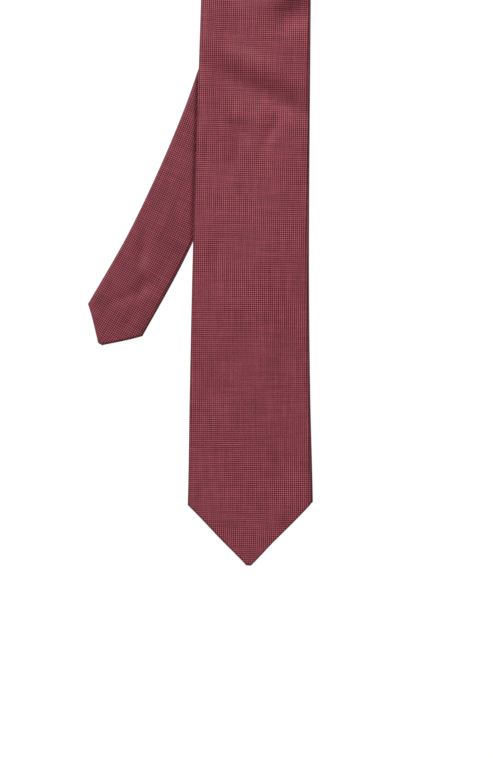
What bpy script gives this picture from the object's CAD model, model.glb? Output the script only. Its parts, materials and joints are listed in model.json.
import json
import math
from bisect import bisect

import bmesh
import bpy
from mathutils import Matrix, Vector, geometry, noise


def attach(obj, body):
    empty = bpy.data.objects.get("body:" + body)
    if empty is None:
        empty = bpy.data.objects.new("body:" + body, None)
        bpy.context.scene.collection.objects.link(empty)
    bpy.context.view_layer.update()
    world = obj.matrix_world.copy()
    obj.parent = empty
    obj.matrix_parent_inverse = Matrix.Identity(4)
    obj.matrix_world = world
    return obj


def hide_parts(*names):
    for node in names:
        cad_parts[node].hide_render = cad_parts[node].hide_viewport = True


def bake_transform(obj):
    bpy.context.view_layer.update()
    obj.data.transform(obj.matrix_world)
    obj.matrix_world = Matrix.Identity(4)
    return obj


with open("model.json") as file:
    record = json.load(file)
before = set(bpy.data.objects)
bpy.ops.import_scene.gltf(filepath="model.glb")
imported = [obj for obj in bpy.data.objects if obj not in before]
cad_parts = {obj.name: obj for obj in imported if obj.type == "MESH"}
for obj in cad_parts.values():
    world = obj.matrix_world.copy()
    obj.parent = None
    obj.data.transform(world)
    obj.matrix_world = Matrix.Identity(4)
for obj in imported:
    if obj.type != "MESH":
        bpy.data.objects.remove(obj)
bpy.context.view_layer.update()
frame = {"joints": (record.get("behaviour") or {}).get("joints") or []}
MM = 0.001

# ---- The laid-out tie -----------------------------------------------------------------------------
# The tie lies on its back as if round a collar. The wide front blade is on top, the neck turns back
# under it over a diagonal crease, and a second crease sends the narrow tail down beneath the blade.

THICKNESS = 3.4 * MM  # from the back of the made-up tie to its face
CREASE_GAP = 0.3 * MM  # between the two layers at a crease
CREASE_MID = THICKNESS + CREASE_GAP / 2  # height of the middle of both creases
MEAN_RADIUS = CREASE_MID / 2
QUARTER = MEAN_RADIUS * math.pi / 2  # cloth in a quarter of a turn
FRONT_HEIGHT = 762 * MM  # from the front tip up to the middle line of the neck
NECK_WIDTH = 34 * MM
CREASE_ROOM = NECK_WIDTH / 2 + 8 * MM  # straight strip before a crease, along either blade
CREASE_REACH = NECK_WIDTH / 2 + 5.5 * MM  # level strip next to a crease, along the neck

joints = {joint["name"]: joint for joint in frame["joints"]}


def crease(joint, out):
    """The corner where the middle lines meet at a crease, and the way that it bulges."""
    out = Vector(out).normalized()
    on_axis = Vector(joints[joint]["pos_m"]).to_2d()
    return on_axis - out * (CREASE_GAP / 2 + THICKNESS - QUARTER), out


BLADE_CREASE = crease("blade_fold", (-1, 1))
TAIL_CREASE = crease("tail_fold", (1, 1))
NECK_CORNER = BLADE_CREASE[0]
NECK_RUN = (TAIL_CREASE[0] - NECK_CORNER).length
FRONT_TIP = NECK_CORNER - Vector((10 * MM, FRONT_HEIGHT))


def measured(points):
    """A line given by close points, as its length and a function from a distance to (point, way)."""
    lengths = [0.0]
    for before, after in zip(points, points[1:]):
        lengths.append(lengths[-1] + (after - before).length)

    def at(distance):
        i = min(max(bisect(lengths, distance) - 1, 0), len(points) - 2)
        way = (points[i + 1] - points[i]).normalized()
        return points[i] + way * (distance - lengths[i]), way

    return lengths[-1], at


def smooth_line(knots):
    """A smooth line through a few knots."""
    ways = [knots[1] - knots[0]]
    ways += [after - before for before, after in zip(knots, knots[2:])]
    ways.append(knots[-1] - knots[-2])
    points = []
    for i, (start, end) in enumerate(zip(knots, knots[1:])):
        third = (end - start).length / 3
        handles = start + ways[i].normalized() * third, end - ways[i + 1].normalized() * third
        points += geometry.interpolate_bezier(start, *handles, end, 160)[:-1]
    return measured(points + [knots[-1]])


# Both blades' middle lines are given in mm to the right of the front tip and up from it. The front
# blade leans a little before it straightens towards the neck.
FRONT_KNOTS = [(0, 0), (1, 40), (0.8, 110), (1.5, 205), (4.6, 360), (8, 540), (10, 680), (10, 737)]
FRONT_LENGTH, front_line = smooth_line([FRONT_TIP + Vector(knot) * MM for knot in FRONT_KNOTS])

# The tail hangs straight from its crease, then swings out ever further to its tip, on the left.
TAIL_KNOTS = [(82, 737), (82, 705), (76, 640), (56.5, 530), (27.7, 430), (-1.5, 350), (-25.2, 280)]
TAIL_KNOTS += [(-55.8, 210), (-84.3, 158.4), (-94.9, 141.4)]
TAIL_LENGTH, tail_line = smooth_line([FRONT_TIP + Vector(knot) * MM for knot in TAIL_KNOTS])

NECK_START = FRONT_LENGTH + CREASE_ROOM  # lengths along the strip, from the front tip
NECK_END = NECK_START + NECK_RUN
LENGTH = NECK_END + CREASE_ROOM + TAIL_LENGTH


def ease(x, low, high):
    """A smooth run from 0 to 1 as x goes from low to high."""
    share = min(max((x - low) / (high - low), 0), 1)
    return share * share * (3 - 2 * share)


def mix(a, b, share):
    """What lies a share of the way from a to b."""
    return a + (b - a) * share


FRONT_HALF = 40 * MM
FRONT_POINT = 39.6 * MM  # from the tip to the widest line
TAIL_HALF = 20.25 * MM
TAIL_POINT = 18.1 * MM
BLUNT = 1.5 * MM  # half the width that a point ends in
CORNER_SKEW = 0.034  # the front point's left corner is a little lower than its right one
SKEW_FROM = 20 * MM  # full from here
SKEW_TO = 120 * MM  # above here there is no difference between the sides
FLARE = 0.95 * MM  # extra half width just above the front point
FLARE_REACH = 165 * MM
BLADE_TAPER = 0.0129  # half width that the front blade loses for each length
TAPER_FROM = 370 * MM  # above here it narrows faster, to the neck
TAIL_FULLNESS = 1.8  # how late the tail widens


def half_width(s, side=0):
    """Half the strip's width: pointed at both ends, with a slight flare above the front point."""
    if s < SKEW_TO:
        s -= side * CORNER_SKEW * FRONT_HALF * ease(s, 0, SKEW_FROM)
    from_tail = LENGTH - s
    if s < FRONT_POINT:
        return mix(BLUNT, FRONT_HALF, s / FRONT_POINT)
    if from_tail < TAIL_POINT:
        return mix(BLUNT, TAIL_HALF, from_tail / TAIL_POINT)
    if s < NECK_START:
        above = s - FRONT_POINT
        blade = FRONT_HALF - BLADE_TAPER * above - FLARE * (1 - max(0, 1 - above / FLARE_REACH) ** 2)
        return mix(blade, NECK_WIDTH / 2, ease(s, TAPER_FROM, NECK_START - CREASE_ROOM))
    share = min((from_tail - TAIL_POINT) / (TAIL_LENGTH - TAIL_POINT), 1)
    return mix(NECK_WIDTH / 2, TAIL_HALF, (1 - share) ** TAIL_FULLNESS)


# Soft hollows and swells left by handling, in mm and degrees: (along, across, half length, half width,
# turn, height). Along runs from the blade's own tip, and a turn of 0 lies along the strip.
FRONT_HANDLING = [
    (347, 2, 30, 15, -66, 1.4),
    (317, 5, 28, 7.5, -66, 2.5),
    (299, 9, 37, 6.5, -66, -2.2),
    (342, -31, 42, 10, 0, 2.4),
    (364, 21, 13, 8, 70, 3.0),
    (349, 21, 14, 9, 80, -1.8),
    (287, -7, 7, 3.4, -40, 1.0),
    (277, -9, 7, 3.4, -40, -1.2),
    (285, 4, 6, 4, 20, 0.6),
    (278, 12, 9, 3, 25, -0.8),
    (262, -11, 14, 5, 18, -0.6),
    (243, -4, 22, 4.5, -16, -0.7),
    (201, -21, 15, 5, 0, -1.1),
    (190, 6, 40, 14, 0, 0.8),
    (128, 23, 26, 6, -4, -0.7),
    (112, -26, 14, 5, -12, -0.7),
    (60, 22, 12, 9, 0, -0.5),
    (25, 22, 5, 4, 40, -1.0),
    (22, -6, 8, 5, 30, -0.5),
]
TAIL_HANDLING = [
    (64, 6, 8, 4, 25, -1.3),
    (45, -5, 8, 4.2, 0, -1.0),
    (33, 2, 12, 3.6, -38, -0.5),
    (56, -2, 8, 5, 0, 0.5),
    (85, 3, 22, 6, 0, 0.3),
    (24, -9, 8, 4, 0, -0.5),
]


def handled(marks, along, across):
    """The height that handling adds to the face at a place on one blade."""
    height = 0.0
    for s, a, half_length, half_across, turn, rise in marks:
        x, y = along / MM - s, across / MM - a
        if abs(x) + abs(y) > 3 * (half_length + half_across):  # too far off to matter
            continue
        sine, cosine = math.sin(math.radians(turn)), math.cos(math.radians(turn))
        lengthwise, crosswise = x * cosine + y * sine, y * cosine - x * sine
        height += rise * MM * math.exp(-((lengthwise / half_length) ** 2) - (crosswise / half_across) ** 2)
    return height


# The two sizes of ripple: (length, breadth, draw of the noise, height).
RIPPLES = [(26 * MM, 15 * MM, 0, 0.16 * MM), (9 * MM, 7 * MM, 7, 0.06 * MM)]


def ripple(s, a, seed):
    """The faint unevenness of soft cloth over wool: a slow ripple and a quick one."""
    height = 0.0
    for length, breadth, draw, rise in RIPPLES:
        height += rise * noise.noise(Vector((s / length, a / breadth, seed + draw)))
    return height


def turned(p, corner_and_out):
    """Carries what lies past the start of a crease's turn round its quarter of it."""
    corner, out = corner_and_out
    past = p.to_2d() - corner
    cloth = past.dot(out) + QUARTER
    if cloth <= 0:
        return p
    along = Vector((out.y, -out.x))
    angle = cloth / MEAN_RADIUS
    radius = abs(p.z - CREASE_MID)
    flat = corner + along * past.dot(along) + out * (radius * math.sin(angle) - QUARTER)
    z = CREASE_MID + math.copysign(radius, p.z - CREASE_MID) * math.cos(angle)
    return flat.to_3d() + Vector((0, 0, z))


LOFT = 4.8 * MM  # the front blade's height where it lies over the tail
LIFT_FROM = 30 * MM  # it leaves the table here, up from its tip
LIFT_TO = 225 * MM
SETTLE_FROM = FRONT_HEIGHT - 190 * MM  # and comes down on the neck over this stretch
SETTLE_TO = FRONT_HEIGHT - CREASE_ROOM - 8 * MM
BACK_SHARE = 0.25  # of the face's hollows and swells, in the back
POINT_CALM = (10 * MM, 40 * MM)  # they grow from nothing over this stretch above the point
NECK_CALM = (420 * MM, 520 * MM)  # and fade out over this one, towards the neck


def lay_front(s, a, t):
    """A place on the front blade: s along from its tip, a to the right, t up from its back."""
    p, way = front_line(s)
    p = p + Vector((way.y, -way.x)) * a
    up = p.y - FRONT_TIP.y
    lift = mix(LOFT * ease(up, LIFT_FROM, LIFT_TO), THICKNESS + CREASE_GAP, ease(up, SETTLE_FROM, SETTLE_TO))
    relief = (handled(FRONT_HANDLING, s, a) + ripple(s, a, 0)) * mix(BACK_SHARE, 1, t / THICKNESS)
    relief *= ease(up, *POINT_CALM) * (1 - ease(up, *NECK_CALM))
    return turned(p.to_3d() + Vector((0, 0, lift + t + relief)), BLADE_CREASE)


def lay_neck(s, a, t):
    """The same on the neck, which lies on its face and climbs over the tail."""
    along = s - NECK_START
    raised = ease(along, CREASE_REACH, NECK_RUN - CREASE_REACH)
    z = (THICKNESS + CREASE_GAP) * raised + THICKNESS - t
    p = turned(Vector((NECK_CORNER.x + along, NECK_CORNER.y + a, z)), BLADE_CREASE)
    return turned(p, TAIL_CREASE)


PRESS = 1.4 * MM  # how far the front blade's left edge presses the tail down
PRESS_STEP = 1.7 * MM  # from the tail's own level down to there, just outside that edge
PRESS_UNDER = 20 * MM  # and back up to its own level, under the blade
TAIL_CALM = (240 * MM, 320 * MM)  # its hollows and swells grow over this stretch below the neck


def lay_tail(s, a, t):
    """The same on the tail, which lies on the table."""
    p, way = tail_line(s - NECK_END - CREASE_ROOM)
    p = p + Vector((way.y, -way.x)) * a
    up = p.y - FRONT_TIP.y
    inside = p.x - (front_line(up)[0].x - half_width(up, -1))  # from the front blade's left edge
    pressed = PRESS * ease(inside, -PRESS_STEP, 0) * (1 - ease(inside, 0, PRESS_UNDER))
    relief = (handled(TAIL_HANDLING, LENGTH - s, a) + ripple(s, a, 3) - pressed) * t / THICKNESS
    relief *= ease(s - NECK_END, *TAIL_CALM)
    return turned(p.to_3d() + Vector((0, 0, t + relief)), TAIL_CREASE)


# ---- Camera and table -----------------------------------------------------------------------------
# The camera looks straight down with a long lens, framing the lower half of the front blade. The tie
# lies on a light table, which stays white and even right up to the cloth.

VIEW_CENTRE = FRONT_TIP.to_3d() + Vector((-1.4, 119.1, 5)) * MM
VIEW_HEIGHT = 482.8 * MM  # what is seen of the table, from the top of the view to its bottom
scene = bpy.context.scene
camera_data = bpy.data.cameras.new("camera")
camera_data.lens = 100
camera = bpy.data.objects.new("camera", camera_data)
camera.location = VIEW_CENTRE + Vector((0, 0, VIEW_HEIGHT * camera_data.lens / camera_data.sensor_width))
scene.collection.objects.link(camera)
scene.camera = camera


def linear(hex_colour):
    """An sRGB colour such as "#8a414e" as the linear colour that a shader takes."""
    channels = [int(hex_colour[i : i + 2], 16) / 255 for i in (1, 3, 5)]
    return [c / 12.92 if c <= 0.04045 else ((c + 0.055) / 1.055) ** 2.4 for c in channels] + [1.0]


def new_material(name):
    """An empty node material, with its tree."""
    made = bpy.data.materials.new(name)
    made.use_nodes = True
    made.node_tree.nodes.clear()
    return made, made.node_tree


def add(tree, kind, inputs=None, **settings):
    """Adds a shader node. inputs gives each socket a value, or the output that feeds it."""
    node = tree.nodes.new(kind)
    for name, value in settings.items():
        setattr(node, name, value)
    for socket, value in (inputs or {}).items():
        if isinstance(value, bpy.types.NodeSocket):
            tree.links.new(value, node.inputs[socket])
        else:
            node.inputs[socket].default_value = value
    return node.outputs[0] if len(node.outputs) else node


def two_tone(tree, share, first, second):
    """A colour that runs from one to the other with a share."""
    mixed = add(tree, "ShaderNodeMix", {0: share, 6: first, 7: second}, data_type="RGBA")
    return mixed.node.outputs[2]


def opal_acrylic():
    """A light table's milky acrylic: lit from below, so that almost no shadow shows on it."""
    material, tree = new_material("lit_opal_acrylic")
    cloudy = add(tree, "ShaderNodeTexNoise", {"Scale": 3.0, "Detail": 2.0})
    tint = two_tone(tree, cloudy, linear("#5c5c5c"), linear("#60605f"))
    surface = add(tree, "ShaderNodeBsdfPrincipled", {"Base Color": tint})
    surface.node.inputs["Roughness"].default_value = 0.9
    surface.node.inputs["Specular IOR Level"].default_value = 0.1
    surface.node.inputs["Emission Color"].default_value = (1, 1, 1, 1)
    surface.node.inputs["Emission Strength"].default_value = 0.97
    add(tree, "ShaderNodeOutputMaterial", {"Surface": surface})
    return material


def to_object(bm, name, material):
    """Makes a smooth-shaded piece from a bmesh."""
    mesh = bpy.data.meshes.new(name)
    for face in bm.faces:
        face.smooth = True
    bm.to_mesh(mesh)
    bm.free()
    mesh.materials.append(material)
    piece = bpy.data.objects.new(name, mesh)
    scene.collection.objects.link(piece)
    return piece


TABLE_DROP = 0.15 * MM  # the table lies just clear of the cloth, so the two never touch
TABLE_HALF = 4
table_mesh = bmesh.new()
bmesh.ops.create_grid(table_mesh, x_segments=1, y_segments=1, size=TABLE_HALF)
bmesh.ops.translate(table_mesh, verts=table_mesh.verts, vec=(0, 0, -TABLE_DROP))
to_object(table_mesh, "table", opal_acrylic())

# ---- Light ----------------------------------------------------------------------------------------
# A white tent all round, and one large soft light high at the upper left, which rakes over the cloth
# so that its hollows and swells show.

scene.view_settings.view_transform = "Standard"
scene.view_settings.look = "None"
scene.world = scene.world or bpy.data.worlds.new("tent")
scene.world.use_nodes = True
tent = scene.world.node_tree.nodes["Background"]
tent.inputs["Color"].default_value = (1, 1, 1, 1)
tent.inputs["Strength"].default_value = 0.24

LIGHT_FROM = Vector((-1.5, 2.9, 2.1))
soft_light = bpy.data.lights.new("soft_light", "AREA")
soft_light.shape = "DISK"
soft_light.size = 1.1
soft_light.energy = 138
light = bpy.data.objects.new("soft_light", soft_light)
light.location = VIEW_CENTRE + LIGHT_FROM
light.rotation_euler = LIGHT_FROM.to_track_quat("Z", "Y").to_euler()
scene.collection.objects.link(light)

# ---- Shell ----------------------------------------------------------------------------------------
# Silk cut as three lengths, front, neck and tail, and joined by two diagonal seams. It wraps the
# interlining, its edges rolled, with one back flap folded and lapped on the other. The neck's length is
# drawn as three sheets that meet edge to edge, so that each crease opens by itself.

CLOTH = 0.3 * MM  # silk with its sizing
HALF_THICK = THICKNESS / 2
LAP_OVER = 3 * MM  # the upper flap's folded edge, past the middle line
LAP_UNDER = 4 * MM
HEM = 5 * MM  # turned in along that edge
HEM_RADIUS = 0.33 * MM
CROWN = 0.35 * MM  # the wool plumps out the middle of each blade
CROWN_UP = (4 * MM, 40 * MM)  # growing over this stretch from the front tip
CROWN_OFF = (480 * MM, 560 * MM)  # and flat again after this one
TAIL_CROWN_UP = (4 * MM, 25 * MM)  # growing over this stretch from the tail's tip
UNDER_LEVEL = 0.75 * MM  # the lower flap's free edge lies this far in from the back
UNDER_SLOPE = 0.7  # of its width, over which it goes in
FRONT_OPENING_END = 140 * MM
FRONT_MARGIN = 11 * MM  # silk turned in round the front point
TAIL_OPENING_END = 85 * MM
TAIL_MARGIN = 7.5 * MM
TACK_BACK = 8 * MM  # the flaps have met this far before the opening's end, at the bar tack
PIECING = NECK_START - 192 * MM  # the diagonal seam between front and neck, at the middle line
TAIL_PIECING = NECK_END + 225 * MM  # and the one between neck and tail
CLOSING = 26 * MM  # the upper flap starts to cross the middle this far before the opening's end
TUCKING = 45 * MM  # the lower flap starts to go in under it here, and is under it at TUCKED
TUCKED = 22 * MM
LEAST_OPENING = 0.25 * MM


def opening(s):
    """Half the opening between the flaps, how far they have closed, and how far one is tucked in."""
    if s < NECK_START:
        d, point, margin, end, half = s, FRONT_POINT, FRONT_MARGIN, FRONT_OPENING_END, FRONT_HALF
    else:
        d, point, margin, end, half = LENGTH - s, TAIL_POINT, TAIL_MARGIN, TAIL_OPENING_END, TAIL_HALF
    across = half_width(s) - margin if d < point else (half - margin) * (end - d) / (end - point)
    closed = ease(d, end - CLOSING, end - TACK_BACK)
    tucked = ease(d, end - TUCKING, end - TUCKED)
    return max(across, LEAST_OPENING), closed, tucked


POINT_ROLL = (1.9 * MM, 1.2 * MM)  # how far in from its outline the left and the right edge start to roll
FRONT_ROLL = (2.0 * MM, 2.6 * MM)
TAIL_ROLL = (2.4 * MM, 1.2 * MM)
MOST_ROLL = 0.8  # of half the width, in the points


def edge_roll(s, side):
    """How far in from its outline an edge starts to roll."""
    rolls = POINT_ROLL if s < FRONT_POINT else FRONT_ROLL if s < NECK_START else TAIL_ROLL
    return rolls[0] if side < 0 else rolls[1]


# Columns of the sheet across the strip, each a zone and a share of it, from the lower flap's free edge
# round the left edge, over the face, round the right edge and back to the upper flap's hem.
ZONES = [("under", 9), ("left", 10), ("face", 40), ("right", 10), ("over", 10), ("fold", 5), ("hem", 2)]
SHELL_COLUMNS = [(zone, i / count) for zone, count in ZONES for i in range(count)] + [("hem", 1.0)]


def shell_place(column, s):
    """Where a column of the shell lies in the strip: (across, level, across as cut)."""
    zone, share = column
    gap, closed, tucked = opening(s)
    side = -1 if zone in ("under", "left") else 1
    if zone == "face":
        side = 2 * share - 1
    half = half_width(s, side)
    roll = min(edge_roll(s, side), MOST_ROLL * half)
    flat = half - roll
    turn = HALF_THICK * math.pi
    if zone == "face":
        left = half_width(s, -1) - min(edge_roll(s, -1), MOST_ROLL * half)
        right = half_width(s, 1) - min(edge_roll(s, 1), MOST_ROLL * half)
        a = mix(-left, right, share)
        plump = ease(s, *CROWN_UP) * (1 - ease(s, *CROWN_OFF))
        plump += ease(s - NECK_END, *TAIL_CALM) * ease(LENGTH - s, *TAIL_CROWN_UP)
        return a, THICKNESS + CROWN * plump * 4 * share * (1 - share), a
    if zone in ("left", "right"):
        angle = math.pi * (share - 0.5) * -side
        a = flat + roll * math.cos(angle)
        cut = flat + turn * (share if side > 0 else 1 - share)
        return side * a, HALF_THICK * (1 + math.sin(angle)), side * cut
    if zone == "under":
        free = -mix(gap, -LAP_UNDER, closed)
        a = mix(free, -flat, share)
        inwards = ease(a + flat, 0, max((free + flat) * UNDER_SLOPE, 1 * MM))
        return a, UNDER_LEVEL * tucked * inwards, -a - 2 * flat - turn
    folded = mix(gap, -LAP_OVER, closed) + HEM_RADIUS
    if zone == "over":
        a = mix(flat, folded, share)
        return a, 0.0, flat + turn + flat - a
    reach = min(HEM, 0.5 * max(flat - gap, 0))
    if zone == "fold":
        angle = math.pi * share
        cut = flat + turn + flat - folded + HEM_RADIUS * angle
        return folded - HEM_RADIUS * math.sin(angle), HEM_RADIUS * (1 - math.cos(angle)), cut
    a = folded + reach * share
    return a, 2 * HEM_RADIUS, flat + turn + flat - folded + HEM_RADIUS * math.pi + reach * share


TIP_ROUNDING = 2.2 * MM
TIP_FULL = 0.06  # share of the thickness left at the very tip


def point_rounding(s):
    """How full the tie is near a tip: its thickness runs out over the last of the point."""
    out = max(0, 1 - min(s, LENGTH - s) / TIP_ROUNDING)
    return mix(TIP_FULL, 1, math.sqrt(1 - out**2))


SEAM_DIP = 0.35 * MM  # a piecing seam pulls the cloth in along its line
SEAM_SPREAD = 0.8 * MM


def seam_dip(s, skewed):
    """How deep the groove of a piecing seam is at a place."""
    nearest = min(abs(s - PIECING - skewed), abs(s - TAIL_PIECING + skewed))
    return SEAM_DIP * math.exp(-((nearest / SEAM_SPREAD) ** 2))


def stations(start, end, spacing):
    """Even lines across the strip from one (distance, skew) to another, at about a spacing."""
    count = max(1, round(abs(end[0] - start[0]) / spacing))
    return [(mix(start[0], end[0], i / count), mix(start[1], end[1], i / count)) for i in range(count + 1)]


def lay_sheet(name, columns, place, lines, lay, material):
    """A sheet of cloth: place puts each column in the strip, and lay lays the strip out."""
    bm = bmesh.new()
    bmesh.ops.create_grid(bm, x_segments=len(columns) - 1, y_segments=len(lines) - 1, size=1)
    cut = {}
    for vertex in bm.verts:
        column = columns[round((vertex.co.x + 1) / 2 * (len(columns) - 1))]
        station, skew = lines[round((vertex.co.y + 1) / 2 * (len(lines) - 1))]
        s = station
        for _ in range(3):  # the width is taken where the skewed line is
            a, t, across = place(column, s)
            s = station + skew * a
        full = point_rounding(s)
        level = HALF_THICK + (t - HALF_THICK) * full
        inward = seam_dip(s, a) * (1 if t > HALF_THICK else -1)
        vertex.co = lay(s, a, level - inward)
        cut[vertex] = (across, s)
    for edge in bm.edges:
        edge.smooth = not edge.is_boundary
    weave = bm.loops.layers.uv.new("cloth")
    for face in bm.faces:
        for loop in face.loops:
            loop[weave].uv = cut[loop.vert]
    return to_object(bm, name, material)


def give_thickness(piece, thickness):
    """Thickens a sheet towards its inner side."""
    solid = piece.modifiers.new("cloth thickness", "SOLIDIFY")
    solid.thickness = thickness
    solid.offset = -1
    solid.use_even_offset = False


def woven_silk():
    """Yarn-dyed silk woven as a close grid of dark dots between rose threads: a satin-like sheen,
    brighter on the swells, with threads that differ a little from their neighbours."""
    material, tree = new_material("woven_silk")
    pitch = 1.28 * MM  # drawn coarser: the real dots are likely about half this far apart
    cloth = add(tree, "ShaderNodeUVMap", uv_map="cloth")
    split = tree.nodes.new("ShaderNodeSeparateXYZ")
    tree.links.new(cloth, split.inputs[0])

    def wave(axis):
        turns = {0: split.outputs[axis], 1: 2 * math.pi / pitch}
        angle = add(tree, "ShaderNodeMath", turns, operation="MULTIPLY")
        return add(tree, "ShaderNodeMath", {0: angle}, operation="COSINE")

    across, along = wave("X"), wave("Y")
    both = add(tree, "ShaderNodeMath", {0: across, 1: along}, operation="ADD")
    dots = add(tree, "ShaderNodeMapRange", {0: both, 1: 0.1, 2: 1.9, 3: 0.0, 4: 1.0}, clamp=True)
    ribs = add(tree, "ShaderNodeMapRange", {0: both, 1: -1.9, 2: 0.2, 3: 1.0, 4: 0.0}, clamp=True)

    def threads(stretch):
        mapped = add(tree, "ShaderNodeMapping", {"Vector": cloth, "Scale": stretch})
        return add(tree, "ShaderNodeTexNoise", {"Vector": mapped, "Scale": 0.9, "Detail": 2.0})

    rough_noise = {"Vector": cloth, "Scale": 150.0, "Detail": 3.0, "Roughness": 0.8}
    uneven = add(tree, "ShaderNodeTexNoise", rough_noise)
    depth = add(tree, "ShaderNodeMapRange", {0: uneven, 1: 0.35, 2: 0.65, 3: 0.35, 4: 1.6})
    dots = add(tree, "ShaderNodeMath", {0: dots, 1: depth}, operation="MULTIPLY", use_clamp=True)

    thread_length = 40.0  # the tone of a thread changes this often along it, in each metre
    weft = threads((thread_length, 1 / pitch, 1.0))
    warp = threads((1 / pitch, thread_length, 1.0))
    thread_tone = add(tree, "ShaderNodeMath", {0: weft, 1: warp}, operation="ADD")
    tone = add(tree, "ShaderNodeMapRange", {0: thread_tone, 1: 0.7, 2: 1.3, 3: 0.8, 4: 1.2})
    patches = add(tree, "ShaderNodeTexNoise", {"Vector": cloth, "Scale": 55.0, "Detail": 3.0})
    wear = add(tree, "ShaderNodeMapRange", {0: patches, 1: 0.3, 2: 0.7, 3: 0.93, 4: 1.07})
    shade = add(tree, "ShaderNodeMath", {0: tone, 1: wear}, operation="MULTIPLY")

    ground = two_tone(tree, ribs, linear("#8b2c39"), linear("#c87585"))
    woven = two_tone(tree, dots, ground, linear("#45000b"))
    edge = add(tree, "ShaderNodeAttribute", attribute_name="edge")
    darker = add(tree, "ShaderNodeMapRange", {0: edge.node.outputs["Fac"], 1: 0.0, 2: 1.0, 3: 1.0, 4: 0.42})
    shade = add(tree, "ShaderNodeMath", {0: shade, 1: darker}, operation="MULTIPLY")
    coloured = add(tree, "ShaderNodeVectorMath", {0: woven, 1: shade}, operation="MULTIPLY")
    height = add(tree, "ShaderNodeMath", {0: both, 1: -0.5}, operation="MULTIPLY")
    bump = add(tree, "ShaderNodeBump", {"Height": height, "Strength": 0.35, "Distance": 0.12 * MM})
    surface = add(
        tree,
        "ShaderNodeBsdfPrincipled",
        {"Base Color": coloured, "Normal": bump, "Roughness": 0.58, "Specular IOR Level": 0.28},
    )
    surface.node.inputs["Sheen Weight"].default_value = 0.06
    surface.node.inputs["Sheen Roughness"].default_value = 0.45
    surface.node.inputs["Sheen Tint"].default_value = linear("#e9a9b4")
    add(tree, "ShaderNodeOutputMaterial", {"Surface": surface})
    return material


silk = woven_silk()


# The strip as it is laid: how each part lies, and its lines across the strip as (distance, skew). They
# are close together where it ends, turns at a crease, bends or is seamed, and slant along a seam.
TURN = QUARTER * math.sqrt(2)  # along the strip, from the start of a crease's turn to its middle


def lay_over_blade_crease(s, a, t):
    """The strip as it comes up the front blade and turns under into the neck."""
    return lay_front(s, a, t) if s - a < NECK_START else lay_neck(s, a, t)


def lay_over_tail_crease(s, a, t):
    """The strip as it leaves the neck and turns under into the tail."""
    return lay_neck(s, a, t) if s + a < NECK_END else lay_tail(s, a, t)


FINE = 0.35 * MM
BEND_AT = 400 * MM  # the front blade folds across here
TAIL_END = LENGTH - TAIL_POINT
PARTS = {
    "front": (
        lay_front,
        [
            *stations((0, 0), (2.2 * MM, 0), FINE),
            *stations((2.8 * MM, 0), (FRONT_POINT - 3 * MM, 0), 1.6 * MM),
            *stations((FRONT_POINT - 2.5 * MM, 0), (FRONT_POINT + 2.5 * MM, 0), FINE),
            *stations((FRONT_POINT + 4 * MM, 0), (BEND_AT - 8 * MM, 0), 2.2 * MM),
            *stations((BEND_AT - 7 * MM, 0), (BEND_AT + 7 * MM, 0), 0.7 * MM),
            *stations((BEND_AT + 9 * MM, 0), (BEND_AT + 13 * MM, 0), 2.2 * MM),
            *stations((BEND_AT + 16 * MM, 0), (PIECING - 2 * MM, 1), 4 * MM),
            *stations((PIECING - 1 * MM, 1), (PIECING, 1), FINE),
        ],
    ),
    "neck_front": (
        lay_over_blade_crease,
        [
            *stations((PIECING, 1), (PIECING + 1 * MM, 1), FINE),
            *stations((PIECING + 2 * MM, 1), (NECK_START - TURN - 1 * MM, 1), 4 * MM),
            *stations((NECK_START - TURN, 1), (NECK_START + TURN, 1), FINE),
            *stations((NECK_START + TURN + 1 * MM, 0.95), (NECK_START + CREASE_REACH, 0), 1 * MM),
        ],
    ),
    "neck_run": (
        lay_neck,
        stations((NECK_START + CREASE_REACH, 0), (NECK_END - CREASE_REACH, 0), 2 * MM),
    ),
    "neck_tail": (
        lay_over_tail_crease,
        [
            *stations((NECK_END - CREASE_REACH, 0), (NECK_END - TURN - 1 * MM, -0.95), 1 * MM),
            *stations((NECK_END - TURN, -1), (NECK_END + TURN, -1), FINE),
            *stations((NECK_END + TURN + 1 * MM, -1), (TAIL_PIECING - 2 * MM, -1), 4 * MM),
            *stations((TAIL_PIECING - 1 * MM, -1), (TAIL_PIECING, -1), FINE),
        ],
    ),
    "tail": (
        lay_tail,
        [
            *stations((TAIL_PIECING, -1), (TAIL_PIECING + 1 * MM, -1), FINE),
            *stations((TAIL_PIECING + 2 * MM, -1), (LENGTH - 240 * MM, 0), 4 * MM),
            *stations((LENGTH - 237 * MM, 0), (TAIL_END - 1 * MM, 0), 2.2 * MM),
            *stations((TAIL_END - 0.6 * MM, 0), (TAIL_END + 0.6 * MM, 0), FINE),
            *stations((TAIL_END + 1.6 * MM, 0), (LENGTH - 2.8 * MM, 0), 1.3 * MM),
            *stations((LENGTH - 2.2 * MM, 0), (LENGTH, 0), FINE),
        ],
    ),
}


def go_with(piece, part):
    """Moves a piece as its part of the strip moves."""
    if part == "front":
        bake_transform(piece)
    elif part == "neck_front":
        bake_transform(piece)
    elif part == "neck_run":
        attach(piece, "neck")
    elif part == "neck_tail":
        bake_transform(piece)
    else:
        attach(piece, "tail")


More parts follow.
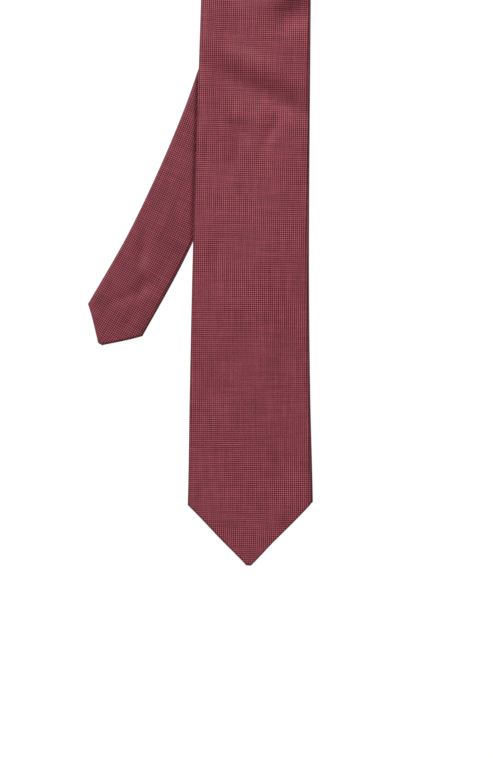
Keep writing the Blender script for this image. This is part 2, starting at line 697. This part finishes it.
SHELL_NODES = {
    "front": ["front_shell_lower", "front_shell_upper"],
    "neck_front": ["neck_shell_front_side"],
    "neck_run": ["neck_shell_middle"],
    "neck_tail": ["neck_shell_tail_side"],
    "tail": ["tail_shell"],
}
TAIL_TONE = 0.22  # the tail is cut the other way of the cloth, and its threads look darker
for part, (lay, lines) in PARTS.items():
    piece = lay_sheet(part + "_silk", SHELL_COLUMNS, shell_place, lines, lay, silk)
    # Silk looks darker where it turns away at a rolled edge.
    edge = piece.data.attributes.new("edge", "FLOAT", "POINT")
    least = TAIL_TONE if part == "tail" else 0.0
    for i, darkening in enumerate(edge.data):
        zone, share = SHELL_COLUMNS[i % len(SHELL_COLUMNS)]
        rolled = math.sin(math.pi * share) if zone in ("left", "right") else 0.0
        darkening.value = max(least, rolled)
    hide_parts(*SHELL_NODES[part])
    give_thickness(piece, CLOTH)
    go_with(piece, part)

# ---- Piecing seams --------------------------------------------------------------------------------
# Machine-sewn lines across the strip where two lengths of silk join. The thread lies in the groove and
# follows the slant of the seam.

PER_WAVE = 0.314  # a wave texture's scale times the length of one of its waves


def spun_thread():
    """Polyester sewing thread: two plies twisted together, dyed to the silk's darker tone."""
    material, tree = new_material("spun_polyester_thread")
    place = tree.nodes.new("ShaderNodeTexCoord").outputs["Object"]
    twist = 0.45 * MM  # a turn of the plies
    bands = {"Vector": place, "Scale": PER_WAVE / twist, "Distortion": 1.0, "Detail": 1.0}
    plies = add(tree, "ShaderNodeTexWave", bands, bands_direction="DIAGONAL").node.outputs["Fac"]
    tint = two_tone(tree, plies, linear("#5c2230"), linear("#8a3f4d"))
    bump = add(tree, "ShaderNodeBump", {"Height": plies, "Strength": 0.4, "Distance": 0.04 * MM})
    surface = add(tree, "ShaderNodeBsdfPrincipled", {"Base Color": tint, "Normal": bump})
    surface.node.inputs["Roughness"].default_value = 0.6
    add(tree, "ShaderNodeOutputMaterial", {"Surface": surface})
    return material


thread_finish = spun_thread()
THREAD_RADIUS = 0.14 * MM


def sewn(name, *paths):
    """Sewing thread along paths of places."""
    curve = bpy.data.curves.new(name, "CURVE")
    curve.dimensions = "3D"
    curve.bevel_depth = THREAD_RADIUS
    curve.bevel_resolution = 1
    curve.use_fill_caps = True
    for path in paths:
        spline = curve.splines.new("POLY")
        spline.points.add(len(path) - 1)
        for point, place in zip(spline.points, path):
            point.co = (*place, 1)
    drawn = bpy.data.objects.new(name, curve)
    scene.collection.objects.link(drawn)
    mesh = bpy.data.meshes.new_from_object(drawn)
    bpy.data.objects.remove(drawn)
    bpy.data.curves.remove(curve)
    mesh.materials.clear()
    mesh.materials.append(thread_finish)
    piece = bpy.data.objects.new(name, mesh)
    scene.collection.objects.link(piece)
    return piece


SEAM_STITCH = 2.5 * MM
SEAM_SINK = 0.12 * MM  # how far each stitch dips
SEAM_STEPS = 160


def seam_path(lay, s, skew):
    """A line of small stitches in a piecing seam's groove, across the face."""
    reach = half_width(s) - 2 * MM
    path = []
    for i in range(SEAM_STEPS + 1):
        a = mix(-reach, reach, i / SEAM_STEPS)
        sink = SEAM_SINK * math.cos(2 * math.pi * a / SEAM_STITCH)
        path.append(lay(s + skew * a, a, THICKNESS - SEAM_DIP + sink))
    return path


front_seam = sewn("front_seam_stitches", seam_path(lay_front, PIECING, 1))
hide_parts("front_piecing_seam")
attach(front_seam, "upper_blade")
tail_seam = sewn("tail_seam_stitches", seam_path(lay_tail, TAIL_PIECING, -1))
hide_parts("tail_piecing_seam")
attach(tail_seam, "tail")

# ---- Interlining ----------------------------------------------------------------------------------
# Brushed wool canvas, cut on the bias and a little narrower than the made-up tie. It gives the tie its
# body, and lies loose between the shell's face and its flaps. One strip in life, it is drawn in the
# shell's five parts, edge to edge.

WOOL = 0.9 * MM  # pressed
WOOL_TOP = 2.75 * MM  # the level of its upper side
WOOL_MARGIN = 1.2 * MM  # inside the tie's outline
WOOL_END = 4 * MM  # and this far from each tip
WOOL_COLUMNS = [("wool", i / 16) for i in range(17)]


def wool_place(column, s):
    """Where a column of the interlining lies in the strip."""
    inner = half_width(s) - WOOL_MARGIN
    a = mix(-inner, inner, column[1])
    return a, WOOL_TOP, a


def brushed_wool():
    """Undyed wool canvas: loose crossing yarns under a raised, matt nap."""
    material, tree = new_material("brushed_wool_canvas")
    cloth = add(tree, "ShaderNodeUVMap", uv_map="cloth")
    bias = add(tree, "ShaderNodeMapping", {"Vector": cloth, "Rotation": (0, 0, math.radians(45))})
    yarn = 0.9 * MM
    yarns = add(tree, "ShaderNodeTexChecker", {"Vector": bias, "Scale": 1 / yarn})
    yarns = yarns.node.outputs["Fac"]
    nap = add(tree, "ShaderNodeTexNoise", {"Vector": cloth, "Scale": 900.0, "Detail": 4.0})
    height = add(tree, "ShaderNodeMath", {0: yarns, 1: nap}, operation="ADD")
    tint = two_tone(tree, nap, linear("#cfc6b4"), linear("#efe9dc"))
    bump = add(tree, "ShaderNodeBump", {"Height": height, "Strength": 0.5, "Distance": 0.15 * MM})
    surface = add(tree, "ShaderNodeBsdfPrincipled", {"Base Color": tint, "Normal": bump})
    surface.node.inputs["Roughness"].default_value = 0.95
    surface.node.inputs["Sheen Weight"].default_value = 0.3
    add(tree, "ShaderNodeOutputMaterial", {"Surface": surface})
    return material


wool = brushed_wool()
WOOL_NODES = {
    "front": ["front_interlining_lower", "front_interlining_upper"],
    "neck_run": ["neck_interlining"],
    "tail": ["tail_interlining"],
}
for part, (lay, lines) in PARTS.items():
    inside = [line for line in lines if WOOL_END < line[0] < LENGTH - WOOL_END]
    piece = lay_sheet(part + "_wool", WOOL_COLUMNS, wool_place, inside, lay, wool)
    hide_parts(*WOOL_NODES.get(part, []))
    give_thickness(piece, WOOL)
    go_with(piece, part)

# ---- Tippings -------------------------------------------------------------------------------------
# Lining cloth in each point, which covers the wool there. It is tucked under the turned-in silk and
# seen through the opening.

TIPPING = 0.2 * MM
TIPPING_MARGIN = 1.7 * MM  # inside the tie's outline
ON_MARGINS = 0.5 * MM  # its level on the silk that is turned in round the point
OVER_FLAP = 1.12 * MM  # and over the lower flap
TIPPING_SAG = 0.12 * MM
TIPPING_COLUMNS = [("tipping", i / 24) for i in range(25)]


def tipping_place(column, s):
    """The tipping lies on the silk's margins, and passes over the lower flap where they close."""
    inner = half_width(s) - TIPPING_MARGIN
    tucked = opening(s)[2]
    a = mix(-inner, inner, column[1])
    sag = TIPPING_SAG * math.sin(math.pi * column[1]) * (1 - tucked)
    return a, mix(ON_MARGINS, OVER_FLAP, tucked) + sag, a


def lining_twill():
    """Fine self-coloured lining: a smooth twill with a soft shine."""
    material, tree = new_material("lining_twill")
    cloth = add(tree, "ShaderNodeUVMap", uv_map="cloth")
    slant = add(tree, "ShaderNodeMapping", {"Vector": cloth, "Rotation": (0, 0, math.radians(30))})
    twill = 0.7 * MM  # drawn coarser: the ribs of such a lining are about half this far apart
    ribs = add(tree, "ShaderNodeTexWave", {"Vector": slant, "Scale": PER_WAVE / twill}, bands_direction="X")
    ribs = ribs.node.outputs["Fac"]
    tint = two_tone(tree, ribs, linear("#6d2433"), linear("#84313f"))
    bump = add(tree, "ShaderNodeBump", {"Height": ribs, "Strength": 0.3, "Distance": 0.05 * MM})
    surface = add(tree, "ShaderNodeBsdfPrincipled", {"Base Color": tint, "Normal": bump})
    surface.node.inputs["Roughness"].default_value = 0.4
    add(tree, "ShaderNodeOutputMaterial", {"Surface": surface})
    return material


twill = lining_twill()
TIPPINGS = [
    ("front", "lower_blade", stations((4 * MM, 0), (FRONT_OPENING_END + 8 * MM, 0), 2 * MM)),
    ("tail", "tail", stations((LENGTH - TAIL_OPENING_END - 8 * MM, 0), (LENGTH - 4 * MM, 0), 2 * MM)),
]
for part, body, lines in TIPPINGS:
    piece = lay_sheet(part + "_lining", TIPPING_COLUMNS, tipping_place, lines, PARTS[part][0], twill)
    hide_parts(part + "_tipping")
    give_thickness(piece, -TIPPING)
    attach(piece, body)

# ---- Slip stitch and bar tacks --------------------------------------------------------------------
# One loose thread closes the back. It runs hidden in the upper flap's fold and crosses to the lower
# flap every few millimetres. A bar tack holds the flaps together at each end of it.

STITCH = 9 * MM
HIDDEN = 5 * MM  # of each stitch
STITCH_STEP = 0.6 * MM
IN_FOLD = (0.6 * MM, HEM_RADIUS)  # the thread's place inside the fold: past its edge, and its level
ON_FLAP = (-0.9 * MM, 0.93 * MM)  # and where it catches the lower flap


def slip_stitch(lay, start, end):
    """The thread's path along the back, from one distance along the strip to another."""
    path = []
    for i in range(int((end - start) / STITCH_STEP) + 1):
        s = start + i * STITCH_STEP
        showing = max(0, (s - start) % STITCH - HIDDEN)
        out = math.sin(math.pi * showing / (STITCH - HIDDEN))
        across, level = (mix(hidden, shown, out) for hidden, shown in zip(IN_FOLD, ON_FLAP))
        path.append(lay(s, -LAP_OVER + across, level))
    return path


STITCHES = {
    "front": (FRONT_OPENING_END - 4 * MM, PIECING, ["front_slip_stitch_lower", "front_slip_stitch_upper"]),
    "neck_front": (PIECING, NECK_START + CREASE_REACH, []),
    "neck_run": (NECK_START + CREASE_REACH, NECK_END - CREASE_REACH, ["neck_slip_stitch"]),
    "neck_tail": (NECK_END - CREASE_REACH, TAIL_PIECING, []),
    "tail": (TAIL_PIECING, LENGTH - TAIL_OPENING_END + 4 * MM, ["tail_slip_stitch"]),
}
for part, (start, end, nodes) in STITCHES.items():
    piece = sewn(part + "_slip_stitch", slip_stitch(PARTS[part][0], start, end))
    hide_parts(*nodes)
    go_with(piece, part)


# A tack's thread in mm, as (past the fold's edge, level): from the upper flap over to the lower one.
TACK_PATH = [(1.6, 0.3), (1.4, -0.1), (0, -0.1), (-0.4, 0.5), (-1.3, 0.62), (-1.5, 0.95)]
TACK_PITCH = 0.27 * MM


def bar_tack(lay, middle):
    """Five threads side by side, from the upper flap over its fold and down to the lower one."""
    paths = []
    for row in range(-2, 3):
        s = middle + row * TACK_PITCH
        paths.append([lay(s, -LAP_OVER + a * MM, t * MM) for a, t in TACK_PATH])
    return paths


front_tack = sewn("front_tack", *bar_tack(lay_front, FRONT_OPENING_END - TACK_BACK))
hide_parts("front_bar_tack")
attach(front_tack, "lower_blade")
tail_tack = sewn("tail_tack", *bar_tack(lay_tail, LENGTH - TAIL_OPENING_END + TACK_BACK))
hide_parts("tail_bar_tack")
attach(tail_tack, "tail")

# ---- Keeper loop ----------------------------------------------------------------------------------
# A folded band of the shell's silk that stands off the back between its two ends, for the tail. Each
# end is sewn down with a short zigzag of thread.

LOOP_AT = 190 * MM
LOOP_HALF = 26 * MM
LOOP_DEPTH = 12 * MM
LOOP_RISE = (3 * MM, 10 * MM)  # it leaves the back over this stretch from each end
LOOP_STAND = 1.3 * MM
LOOP_CLOTH = 0.7 * MM  # the band is folded double
BACK_AIR = 0.05 * MM  # between the back and what is sewn on it


def loop_place(column, s):
    """Where a column of the loop lies, down from the back."""
    a = mix(-LOOP_HALF, LOOP_HALF, column[1])
    stand = LOOP_STAND * ease(LOOP_HALF - abs(a), *LOOP_RISE)
    return a, -BACK_AIR - stand, a


EDGE_SOFTNESS = 0.35  # of the thickness


def back_piece(name, columns, place, lines, thickness, material):
    """A flat piece sewn on the back of the front blade, with softened edges."""
    shares = [(name, i / columns) for i in range(columns + 1)]
    piece = lay_sheet(name, shares, place, lines, lay_front, material)
    give_thickness(piece, thickness)
    soft = piece.modifiers.new("soft edges", "BEVEL")
    soft.width = thickness * EDGE_SOFTNESS
    soft.segments = 2
    soft.angle_limit = math.radians(50)
    return piece


loop_lines = stations((LOOP_AT - LOOP_DEPTH / 2, 0), (LOOP_AT + LOOP_DEPTH / 2, 0), 1.5 * MM)
loop = back_piece("loop", 52, loop_place, loop_lines, LOOP_CLOTH, silk)
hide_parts("keeper_loop")
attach(loop, "lower_blade")

ZIGZAG_STEPS = 12
ZIGZAG_STEP = 0.75 * MM
ZIGZAG_HALF = 0.5 * MM
for name, side in (("left", -1), ("right", 1)):
    zigzag = []
    for i in range(ZIGZAG_STEPS + 1):
        s = LOOP_AT + (i - ZIGZAG_STEPS / 2) * ZIGZAG_STEP
        a = side * (LOOP_HALF - 2 * MM) + (ZIGZAG_HALF if i % 2 else -ZIGZAG_HALF)
        zigzag.append(lay_front(s, a, -BACK_AIR - LOOP_CLOTH - THREAD_RADIUS / 2))
    tack = sewn(f"loop_tack_{name}", zigzag)
    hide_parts(f"keeper_loop_tack_{name}")
    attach(tack, "lower_blade")

# ---- Maker label ----------------------------------------------------------------------------------
# A blank woven label across the back above the loop. Its ends are turned under and sewn down, and
# pucker a little along the stitches.

LABEL_AT = 232 * MM
LABEL_HALF = 23 * MM
LABEL_DEPTH = 20 * MM
LABEL_CLOTH = 0.3 * MM
LABEL_TURN = 4 * MM  # turned under at each end
LABEL_FOLD = 0.15 * MM  # an end stands this much further off, on what is turned under
PUCKER = 0.1 * MM  # height of the small waves along the stitches
PUCKER_RADIAN = 1.1 * MM  # length of one radian of such a wave


def label_place(column, s):
    """Where a column of the label lies, down from the back."""
    a = mix(-LABEL_HALF, LABEL_HALF, column[1])
    inset = LABEL_HALF - abs(a)
    pucker = PUCKER * math.sin(s / PUCKER_RADIAN) * (1 - ease(inset, 1 * MM, 7 * MM))
    folded = LABEL_FOLD * (1 - ease(inset, LABEL_TURN, LABEL_TURN + 1 * MM))
    return a, -BACK_AIR - folded - pucker, a


def label_satin(name, light, dark):
    """Woven label satin: close fine threads across it, with a soft shine."""
    material, tree = new_material(name)
    cloth = add(tree, "ShaderNodeUVMap", uv_map="cloth")
    picks = 0.5 * MM  # drawn coarser: the threads of such a label are about half this far apart
    bands = {"Vector": cloth, "Scale": PER_WAVE / picks}
    threads = add(tree, "ShaderNodeTexWave", bands, bands_direction="Y").node.outputs["Fac"]
    cloudy = add(tree, "ShaderNodeTexNoise", {"Vector": cloth, "Scale": 300.0, "Detail": 3.0})
    height = add(tree, "ShaderNodeMath", {0: threads, 1: cloudy}, operation="ADD")
    share = add(tree, "ShaderNodeMath", {0: height, 1: 0.5}, operation="MULTIPLY")
    tint = two_tone(tree, share, linear(dark), linear(light))
    bump = add(tree, "ShaderNodeBump", {"Height": height, "Strength": 0.25, "Distance": 0.04 * MM})
    surface = add(tree, "ShaderNodeBsdfPrincipled", {"Base Color": tint, "Normal": bump})
    surface.node.inputs["Roughness"].default_value = 0.38
    add(tree, "ShaderNodeOutputMaterial", {"Surface": surface})
    return material


label_lines = stations((LABEL_AT - LABEL_DEPTH / 2, 0), (LABEL_AT + LABEL_DEPTH / 2, 0), 0.8 * MM)
label_finish = label_satin("woven_label_satin", "#5a2733", "#431a25")
label = back_piece("label", 60, label_place, label_lines, LABEL_CLOTH, label_finish)
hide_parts("maker_label")
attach(label, "lower_blade")

RUNNING_STITCH = 2.2 * MM
RUNNING_DIP = 0.2 * MM
STITCH_POINTS = 8


def running_stitch(start, end, level):
    """Short stitches from one (s, a) to another on the back of the front blade."""
    length = math.hypot(end[0] - start[0], end[1] - start[1])
    steps = int(length / RUNNING_STITCH) * STITCH_POINTS
    path = []
    for i in range(steps + 1):
        dip = RUNNING_DIP * math.cos(2 * math.pi * i / STITCH_POINTS)
        s, a = (mix(first, last, i / steps) for first, last in zip(start, end))
        path.append(lay_front(s, a, level + dip))
    return path


LABEL_STITCH_LEVEL = -0.45 * MM
for name, side in (("left", -1), ("right", 1)):
    a = side * (LABEL_HALF - 1.5 * MM)
    reach = LABEL_DEPTH / 2 - 1 * MM
    path = running_stitch((LABEL_AT - reach, a), (LABEL_AT + reach, a), LABEL_STITCH_LEVEL)
    stitches = sewn(f"label_stitches_{name}", path)
    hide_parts(f"maker_label_stitches_{name}")
    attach(stitches, "lower_blade")

# ---- Care label -----------------------------------------------------------------------------------
# A small blank satin tab below the loop. Its top edge is sewn down, and the rest turns over and curls
# a little towards its free end.

CARE_HINGE = 152 * MM
CARE_HEADER = 1.8 * MM  # above the hinge, under the stitches
CARE_LENGTH = 30 * MM
CARE_HALF = 7 * MM
CARE_ASIDE = 14 * MM  # to the right of the middle line
CARE_CURL = 0.25 * MM
CARE_CUP = 0.12 * MM
CARE_STITCH_LEVEL = -0.4 * MM


def care_place(column, s):
    """Where a column of the care label lies, down from the back."""
    across = mix(-CARE_HALF, CARE_HALF, column[1])
    curl = CARE_CURL * ease(CARE_HINGE - s, 12 * MM, CARE_LENGTH)
    cup = CARE_CUP * math.sin(math.pi * column[1])
    return CARE_ASIDE + across, -BACK_AIR - curl - cup, across


care_lines = [
    *stations((CARE_HINGE - CARE_LENGTH, 0), (CARE_HINGE - 2 * MM, 0), 1 * MM),
    *stations((CARE_HINGE - 1.7 * MM, 0), (CARE_HINGE + CARE_HEADER, 0), 0.3 * MM),
]
care_finish = label_satin("white_care_satin", "#f4f1ea", "#dcd8cf")
care = back_piece("care", 20, care_place, care_lines, LABEL_CLOTH, care_finish)
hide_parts("care_label")
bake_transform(care)

care_row = CARE_HINGE + 1.2 * MM
care_reach = CARE_HALF - 0.5 * MM
care_ends = (care_row, CARE_ASIDE - care_reach), (care_row, CARE_ASIDE + care_reach)
care_stitches = sewn("care_stitches", running_stitch(*care_ends, CARE_STITCH_LEVEL))
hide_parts("care_label_stitches")
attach(care_stitches, "lower_blade")
